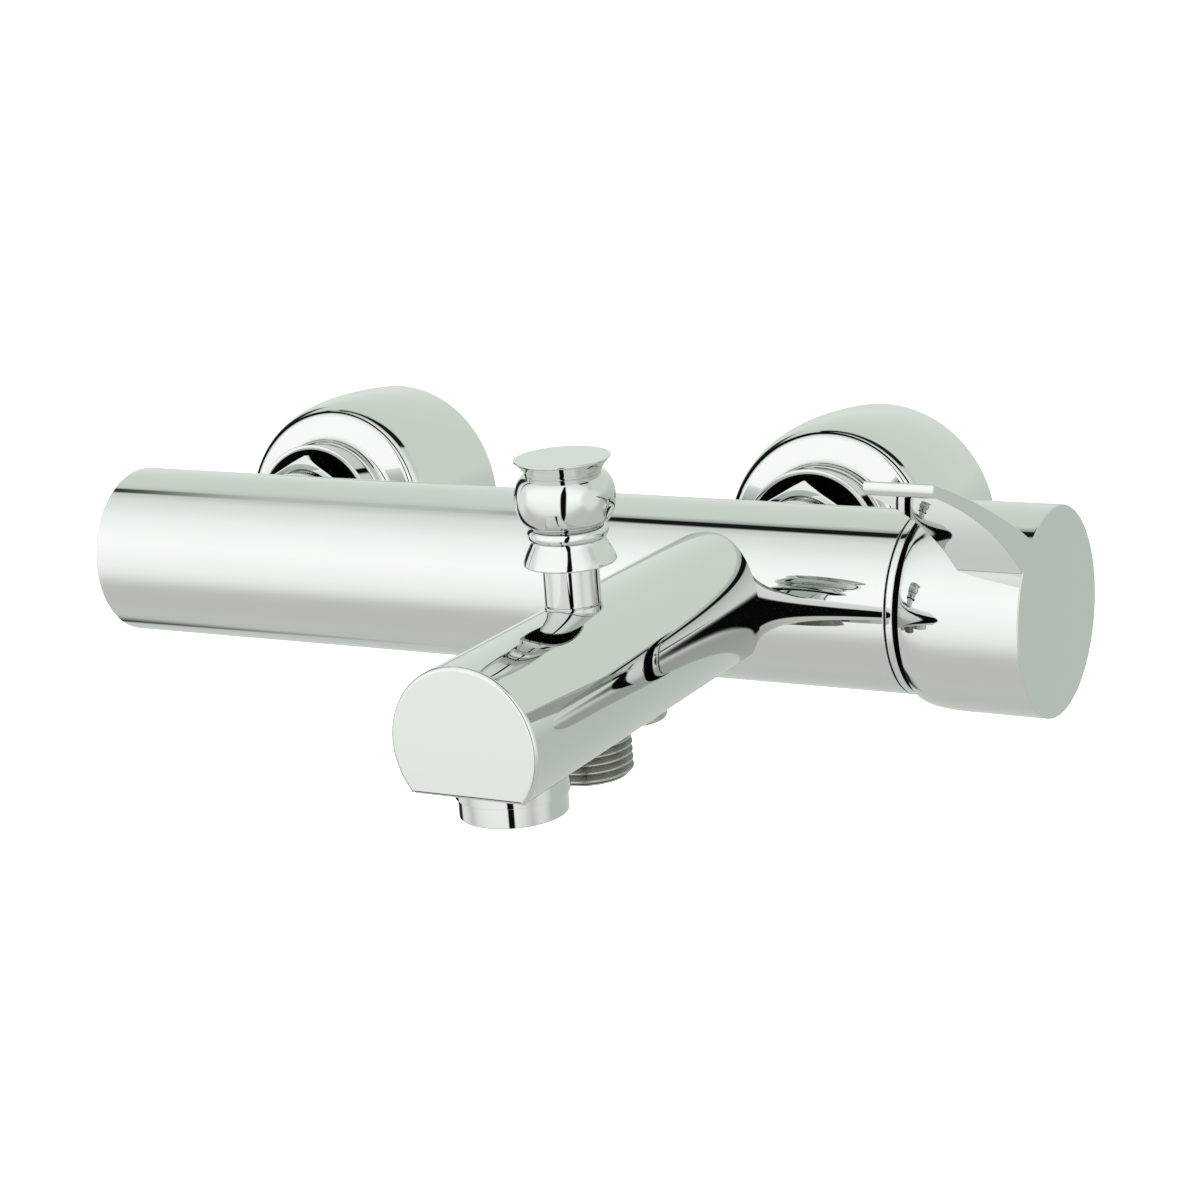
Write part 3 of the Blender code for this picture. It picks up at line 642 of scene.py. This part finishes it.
def makeNipple(look):
    end = look["end"]
    rings = [(look["bore"], look["sleeveTop"]), (look["bore"], end + 0.5), (look["bore"] + 0.5, end)]
    rings += [(look["root"], end), (look["root"], end + 0.35)]
    rings += threadRings(look["crest"], look["root"], end + 0.5, look["pitch"], look["crests"])
    rings += [(look["root"], look["threadTop"]), (look["sleeve"], look["threadTop"])]
    rings += [(look["sleeve"], look["sleeveTop"])]
    thread = putAt(turnPiece("showerNipple", rings, 96, hollow=True), diverterAxes)
    plate = addPrism(look["hexagon"], look["hexagonHeight"], look["hexagonMiddle"])
    flat = look["hexagon"] / 2
    chamfer = turnPiece("chamfer", [(flat - 0.2, -11.6), (flat + 1.9, -10.7), (flat + 1.9, -9.9)], 96)
    combine(plate, chamfer, "INTERSECT")
    putAt(plate, diverterAxes)
    return joinPieces(thread, [plate])


nipplePiece = makeNipple(nipple)
# painted shade: the nipple's bore is painted black
paintShadeInside(nipplePiece, diverterAxes, lambda radius, along, outward, tilt:
            radius < 9.72 and -20.4 < along < -11.6)
finishPiece(nipplePiece, [agedNickel, paintedShadeBlack], "fixed", ["shower_nipple"])


# screwed plug behind the shower outlet

spoutPlug = {"radius": 8.0, "top": -9.95, "end": -14.8, "edge": 0.8, "key": 6.0, "keyDepth": 2.5}


def makeSpoutPlug(look):
    end, radius, edge = look["end"], look["radius"], look["edge"]
    rings = [(radius - 0.9, look["top"]), (radius, look["top"])]
    rings += arc(radius - edge, end + edge, edge, 0, -90, 5)
    rings += [(5.6, end), (5.2, end + 0.3), (4.4, end + 0.3), (4.1, end)]
    head = turnPiece("spoutPlug", rings, 96)
    combine(head, addPrism(look["key"], look["keyDepth"] * 2, end), "DIFFERENCE")
    return putAt(head, plugAxes)


finishPiece(makeSpoutPlug(spoutPlug), [agedNickel], "fixed", ["spout_plug"])


# aerator: screwed ring and its grille

aerator = {
    "radius": 11.8, "end": -18.7, "top": -14.16, "bore": 9.6, "edge": 0.35, "topEdge": 0.1,
    "sleeve": 10.4, "sleeveTop": -9.3,
    "grilleRadius": 9.3, "grilleInner": 8.5, "grilleEnd": -18.1, "grilleTop": -11.0,
    "wallRadii": (6.3, 4.1, 1.9), "wallTop": -12.5, "backRadius": 8.7, "backFace": -12.6,
    "vanes": 16, "vaneSize": (6.7, 0.4, 5.2), "vaneReach": 5.3, "vaneHeight": -15.0,
}


def makeAeratorRing(look):
    edge, topEdge, radius = look["edge"], look["topEdge"], look["radius"]
    rings = [(look["bore"], look["end"] + 0.5), (look["bore"] + 0.5, look["end"])]
    rings += arc(radius - edge, look["end"] + edge, edge, -90, 0, 4)
    rings += arc(radius - topEdge, look["top"] - topEdge, topEdge, 0, 90, 2)
    rings += [(look["sleeve"], look["top"]), (look["sleeve"], look["sleeveTop"])]
    rings += [(look["bore"], look["sleeveTop"])]
    return putAt(turnPiece("aeratorRing", rings, 192, hollow=True), aeratorAxes)


def makeGrille(look):
    end, top, wallTop = look["grilleEnd"], look["grilleTop"], look["wallTop"]
    inner, radius = look["grilleInner"], look["grilleRadius"]
    outer = turnPiece("aeratorGrille", [(inner, end), (radius, end), (radius, top), (inner, top)], 72,
                      hollow=True)
    walls = []
    for small in look["wallRadii"]:
        large, low = small + 0.5, end + 0.5
        rings = [(small, low), (large, low), (large, wallTop), (small, wallTop)]
        walls.append(turnPiece("grilleWall", rings, 48, hollow=True))
    face = look["backFace"]
    back = turnPiece("grilleBack", [(look["backRadius"], face), (look["backRadius"], face + 1.0)], 48)
    clearSelection()
    middle = (look["vaneReach"] * mm, 0, look["vaneHeight"] * mm)
    bpy.ops.mesh.primitive_cube_add(size=1 * mm, location=middle)
    vane = bpy.context.object
    bpy.ops.object.mode_set(mode="EDIT")
    bpy.ops.transform.resize(value=look["vaneSize"], center_override=middle)
    bpy.ops.object.mode_set(mode="OBJECT")
    bpy.ops.object.transform_apply(location=True, rotation=True, scale=True)
    vanes = [copyPiece(vane, "grilleVane", Matrix.Rotation(math.tau * turn / look["vanes"], 4, "Z"))
             for turn in range(1, look["vanes"])]
    return putAt(joinPieces(outer, walls + [back, vane] + vanes), aeratorAxes)


finishPiece(makeAeratorRing(aerator), [bodyChrome], "fixed", ["aerator_housing"])
finishPiece(makeGrille(aerator), [whitePlastic], "fixed", ["aerator_insert"])
print("outlets done")


# inlets: rosettes, collar rings, union nuts and wall unions

rosette = {"wallRadius": 32.4, "rimRadius": 26.2, "depth": 34.3, "wall": 1.3, "rimEdge": 2.2,
           "collar": 19.0, "collarEnd": 38.5, "opening": 17.6, "bellSteps": 26}
shroud = {"outer": 18.7, "inner": 17.4, "start": 38.8, "end": 44.3, "back": 33.0, "backRadius": 17.3,
          "bore": 16.8, "shield": 13.3, "shieldEnd": 35.5}
unionNut = {"across": 28.0, "start": 36.0, "end": 49.0, "bore": 13.1, "lip": 12.0, "lipDepth": 2.5}
wallUnion = {"bore": 7.0, "tail": 12.1, "tailCrest": 12.9, "tailEnd": 41.1, "middle": 16.0,
             "middleShift": 3.5, "wallRoot": 9.4, "wallCrest": 10.4, "wallEnd": -20.0, "wallShift": 7.0,
             "pitch": 1.814}


def makeRosette(look):
    depth, rim, swell = look["depth"], look["rimRadius"], look["wallRadius"] - look["rimRadius"]
    edge = look["rimEdge"]

    def bell(height):
        return rim + swell * math.sqrt(max(0.0, 1 - (height / depth) ** 2))

    def heightAt(step):
        return depth * math.sin(math.radians(80) * step / look["bellSteps"])

    rings = [(look["wallRadius"] - 2.2, 0.0), (look["wallRadius"] - 0.3, 0.0)]
    rings.append((look["wallRadius"], 0.3))
    for step in range(1, look["bellSteps"] + 1):
        rings.append((bell(heightAt(step)), heightAt(step)))
    # over the rounded rim the front climbs gently and sweeps up into the collar
    rings += arc(rings[-1][0] - edge * 0.98, depth - edge * 0.9, edge, 16, 80, 9)
    rings += arc(look["collar"] + 2.4, rings[-1][1] + 2.95, 2.4, 260, 182, 10)
    rings += [(look["collar"], look["collarEnd"] - 0.3), (look["collar"] - 0.3, look["collarEnd"])]
    rings += [(look["opening"], look["collarEnd"]), (look["opening"], 31.5), (24.4, 32.4)]
    for step in (22, 16, 10, 5):
        height = heightAt(step) * 0.96
        rings.append((bell(height) - look["wall"], height))
    return turnPiece("rosette", rings, 224, hollow=True)


def makeShroud(look):
    # the shield is a flange inside the collar; it is painted black below, as painted shade that closes off
    # the view into the hollow
    end, bore, back, backRadius = look["end"], look["bore"], look["back"], look["backRadius"]
    rings = [(look["shield"], back), (backRadius, back), (backRadius, look["start"])]
    rings += [(look["outer"], look["start"])]
    rings += arc(look["outer"] - 0.35, end - 0.35, 0.35, 0, 90, 4)
    rings += arc(look["inner"] + 0.3, end - 0.3, 0.3, 90, 180, 3)
    rings += [(look["inner"], 40.2), (bore, 39.6), (bore, look["shieldEnd"])]
    rings += [(look["shield"], look["shieldEnd"])]
    return turnPiece("shroud", rings, 160, hollow=True)


def makeUnionNut(look):
    flat = look["across"] / 2
    height = look["end"] - look["start"]
    nut = addPrism(look["across"], height, look["start"] + height / 2)
    bpy.ops.object.mode_set(mode="EDIT")
    bpy.ops.mesh.select_all(action="SELECT")
    bpy.ops.mesh.bevel(offset=0.35 * mm, segments=3, affect="EDGES")
    bpy.ops.object.mode_set(mode="OBJECT")
    rings = [(flat - 0.4, look["start"] - 0.2), (flat + 2.4, look["start"] + 1.3)]
    rings += [(flat + 2.4, look["end"] - 1.5), (flat - 0.5, look["end"] + 0.2)]
    combine(nut, turnPiece("chamfer", rings, 160), "INTERSECT")
    ledge = look["end"] - look["lipDepth"]
    rings = [(look["bore"], look["start"] - 1), (look["bore"], ledge), (look["lip"], ledge)]
    rings += [(look["lip"], look["end"] - 0.5), (look["lip"] + 0.9, look["end"] + 0.4)]
    return combine(nut, turnPiece("bore", rings, 96), "DIFFERENCE")


def makeWallUnion(look):
    bore, tail, end = look["bore"], look["tail"], look["tailEnd"]
    rings = [(bore, 20.0), (12.0, 20.0), (tail, 30.5)]
    rings += threadRings(look["tailCrest"], tail, 31.0, look["pitch"], 5)
    rings += [(12.2, end - 0.5), (11.7, end), (bore + 0.4, end), (bore, end - 0.4)]
    unionTail = turnPiece("unionTail", rings, 96, hollow=True)
    # the offset between wall thread and tail
    size = look["middle"]
    rings = [(size - 0.4, 14.0)] + arc(size, 15.0, 1.0, -60, 0, 3) + arc(size, 29.0, 1.0, 0, 90, 4)
    middle = putAt(turnPiece("unionMiddle", rings, 96),
                   Matrix.Translation((0, look["middleShift"] * mm, 0)))
    root, low = look["wallRoot"], look["wallEnd"]
    rings = [(bore, 16.0), (bore, low + 0.4), (bore + 0.4, low), (root - 0.2, low)]
    rings += threadRings(look["wallCrest"], root, low + 0.4, look["pitch"], 12) + [(root, 16.0)]
    wallEnd = turnPiece("unionWallEnd", rings, 96, hollow=True)
    putAt(wallEnd, Matrix.Translation((0, look["wallShift"] * mm, 0)))
    return joinPieces(unionTail, [middle, wallEnd])


rosettePiece = makeRosette(rosette)
shroudPiece = makeShroud(shroud)
nutPiece = makeUnionNut(unionNut)
unionPiece = makeWallUnion(wallUnion)
for side, axes in inletAxes.items():
    bell = copyPiece(rosettePiece, side + "Rosette", axes)
    # painted shade: the inside of the bell is painted black
    paintShadeInside(bell, axes, lambda radius, along, outward, tilt:
                outward < 0 and along < 38.2 and radius < 31)
    finishPiece(bell, [rosetteChrome, paintedShadeBlack], "fixed", ["rosette_" + side])
    collar = copyPiece(shroudPiece, side + "Shroud", axes)
    # painted shade: the collar's inside and its shield flange are painted black
    paintShadeInside(collar, axes, lambda radius, along, outward, tilt:
                along < 43.6 and (outward < 0 or radius < 17.1))
    finishPiece(collar, [rosetteChrome, paintedShadeBlack], "fixed", ["shroud_ring_" + side])
    nut = copyPiece(nutPiece, side + "UnionNut", axes)
    finishPiece(nut, [bodyChrome], "fixed", ["union_nut_" + side], 20)
    finishPiece(copyPiece(unionPiece, side + "WallUnion", axes), [machinedBrass], "fixed",
                ["s_union_" + side])
for spare in (rosettePiece, shroudPiece, nutPiece, unionPiece):
    bpy.data.objects.remove(spare)
print("inlets done")


# CAD nodes that keep their shape

slotFinish = {
    "chrome": bodyChrome, "brass": machinedBrass, "nickel": agedNickel, "steel": brightSteel,
    "rubber": blackRubber, "plastic": whitePlastic, "ceramic": firedCeramic,
}
for part in frame["record"]["subparts"]:
    node = frame["nodes"][part["node"]]
    node.data.materials.clear()
    node.data.materials.append(slotFinish[part["material_slot"]])
print("inner parts painted")


# studio

studio = {
    "cameraPlace": (0.4069, -0.7476, 0.089), "cameraTilt": 82.42, "cameraTurn": 29.13, "lens": 93.5,
    "floorHeight": -0.6, "white": (1.02, 1.02, 1.02, 1),
    "brightness": 1.38, "sideTone": (0.80, 0.82, 0.80, 1), "black": (0.004, 0.004, 0.004, 1),
    "seamHeight": 95.0, "gapStart": (-0.62, -0.57), "gapEnd": (-0.52, -0.47), "seamEnd": (0.52, 0.58),
    "sideSeamTurn": -118.0, "cardTurn": 26.0, "cardWidth": 7.0,
}
# brightness round the mixer, by the angle up from straight in front: 90 is overhead, 180 the wall
surround = [
    (-180, (0.505, 0.55, 0.505)), (-115, (0.53, 0.56, 0.53)), (-95, (0.57, 0.575, 0.555)),
    (-62, (0.575, 0.57, 0.55)), (-51, (0.60, 0.60, 0.58)), (-44, (0.68, 0.685, 0.665)),
    (-37, (0.815, 0.83, 0.80)), (-30, (0.92, 0.935, 0.91)), (-20, (1.01, 1.02, 1.00)),
    (0, (1.10, 1.10, 1.09)), (14, (1.13, 1.13, 1.12)), (30, (1.08, 1.10, 1.08)),
    (50, (1.00, 1.02, 1.00)), (66, (0.88, 0.91, 0.88)), (80, (0.79, 0.83, 0.79)),
    (87, (0.66, 0.70, 0.66)), (101, (0.60, 0.65, 0.60)), (108, (0.66, 0.72, 0.66)),
    (160, (0.66, 0.72, 0.66)), (180, (0.505, 0.55, 0.505)),
]


def makeSurround(look, angles):
    world = bpy.data.worlds.new("studioLight")
    bpy.context.scene.world = world
    world.use_nodes = True
    maker = NodeMaker(world.node_tree)
    world.node_tree.nodes.clear()
    toward = maker.node("ShaderNodeTexCoord", {}, output="Generated")
    split = "ShaderNodeSeparateXYZ"
    east, north, up = (maker.node(split, {}, toward, output=axis) for axis in range(3))
    angle = maker.node("ShaderNodeMath", {"operation": "ARCTAN2"}, up, -north) * (180 / math.pi)
    turn = maker.node("ShaderNodeMath", {"operation": "ARCTAN2"}, east, -north) * (180 / math.pi)
    rise = maker.node("ShaderNodeMath", {"operation": "ARCSINE"}, up) * (180 / math.pi)
    stops = [((degrees + 180) / 360, colour) for degrees, colour in angles]
    ramp = maker.node("ShaderNodeValToRGB", {"stops": stops}, (angle + 180.0) / 360.0)
    sideShare = abs(east).between(0.86, 0.97)
    tent = maker.mixColour(sideShare, ramp, look["sideTone"])
    # a dark seam overhead, with a light gap on the left, wider and with a soft edge to the right
    right = east.between(*look["gapEnd"])
    gap = (1.0 - right) * east.between(*look["gapStart"]) * 0.84
    widening = east.between(-0.35, 0.45) * 6.0
    seam = 1.0 - (abs(angle - look["seamHeight"]) - widening).between(2.0, 6.0)
    fade = (1.0 - (angle - look["seamHeight"]).between(3.0, 13.0)) * angle.between(93.0, 95.0) * 0.45
    seamShare = (seam * (1.0 - gap) + fade * right) * (1.0 - east.between(*look["seamEnd"]))
    tent = maker.mixColour(maker.node("ShaderNodeClamp", {}, seamShare), tent, (0.01, 0.01, 0.01, 1))
    # a dark seam beside the tent on the left
    sideSeam = (1.0 - abs(turn - look["sideSeamTurn"]).between(8.0, 13.0)) * rise.between(-50.0, -40.0)
    tent = maker.mixColour(sideSeam * (1.0 - rise.between(30.0, 40.0)), tent, (0.02, 0.02, 0.02, 1))
    # the narrow dark opening that the camera looks through
    width = look["cardWidth"] - rise.between(15.0, 50.0) * 3.0
    width = width - (1.0 - rise.between(-58.0, -36.0)) * 4.5
    card = 1.0 - (abs(turn - look["cardTurn"]) - width).between(-2.0, 1.5)
    card = card * rise.between(-64.0, -54.0) * (1.0 - rise.between(52.0, 60.0))
    tent = maker.mixColour(card, tent, look["black"])
    seen = maker.node("ShaderNodeLightPath", {}, output="Is Camera Ray")
    light = maker.node("ShaderNodeBackground", {}, tent, look["brightness"])
    backdrop = maker.node("ShaderNodeBackground", {}, look["white"], 1.0)
    mixed = maker.node("ShaderNodeMixShader", {}, seen, light, backdrop)
    out = world.node_tree.nodes.new("ShaderNodeOutputWorld")
    world.node_tree.links.new(mixed.socket, out.inputs["Surface"])


def makeFloor(look):
    clearSelection()
    bpy.ops.mesh.primitive_plane_add(size=60, location=(0, 0, look["floorHeight"]))
    floor = bpy.context.object
    floor.name = "floor"
    finish = Finish("paleFloor")
    tone = finish.noise(3.0, 2.0, 0.5)
    floor.data.materials.append(finish.set(
        basecolor=finish.mixColour(tone, (0.90, 0.90, 0.90, 1), (0.93, 0.93, 0.93, 1)), roughness=0.7))
    floor.visible_glossy = False


def makeLamp(name, kind, power, place):
    lamp = bpy.data.lights.new(name, kind)
    lamp.energy = power
    fitting = bpy.data.objects.new(name, lamp)
    fitting.location = place
    fitting.rotation_euler = Vector(place).to_track_quat("Z", "Y").to_euler()
    fitting.visible_glossy = False
    bpy.context.scene.collection.objects.link(fitting)
    return lamp


makeSurround(studio, surround)
makeFloor(studio)
makeLamp("overheadSoftbox", "AREA", 420.0, (0.0, 0.5, 3.4)).size = 6.0
makeLamp("roomFill", "SUN", 1.0, (0.0, 0.0, 1.0)).angle = math.radians(120.0)

camera = bpy.data.objects.new("camera", bpy.data.cameras.new("camera"))
bpy.context.scene.collection.objects.link(camera)
camera.location = studio["cameraPlace"]
camera.rotation_euler = (math.radians(studio["cameraTilt"]), 0, math.radians(studio["cameraTurn"]))
camera.data.lens = studio["lens"]
camera.data.sensor_width = 36
bpy.context.scene.camera = camera
bpy.context.scene.view_settings.view_transform = "Standard"
print("studio done")
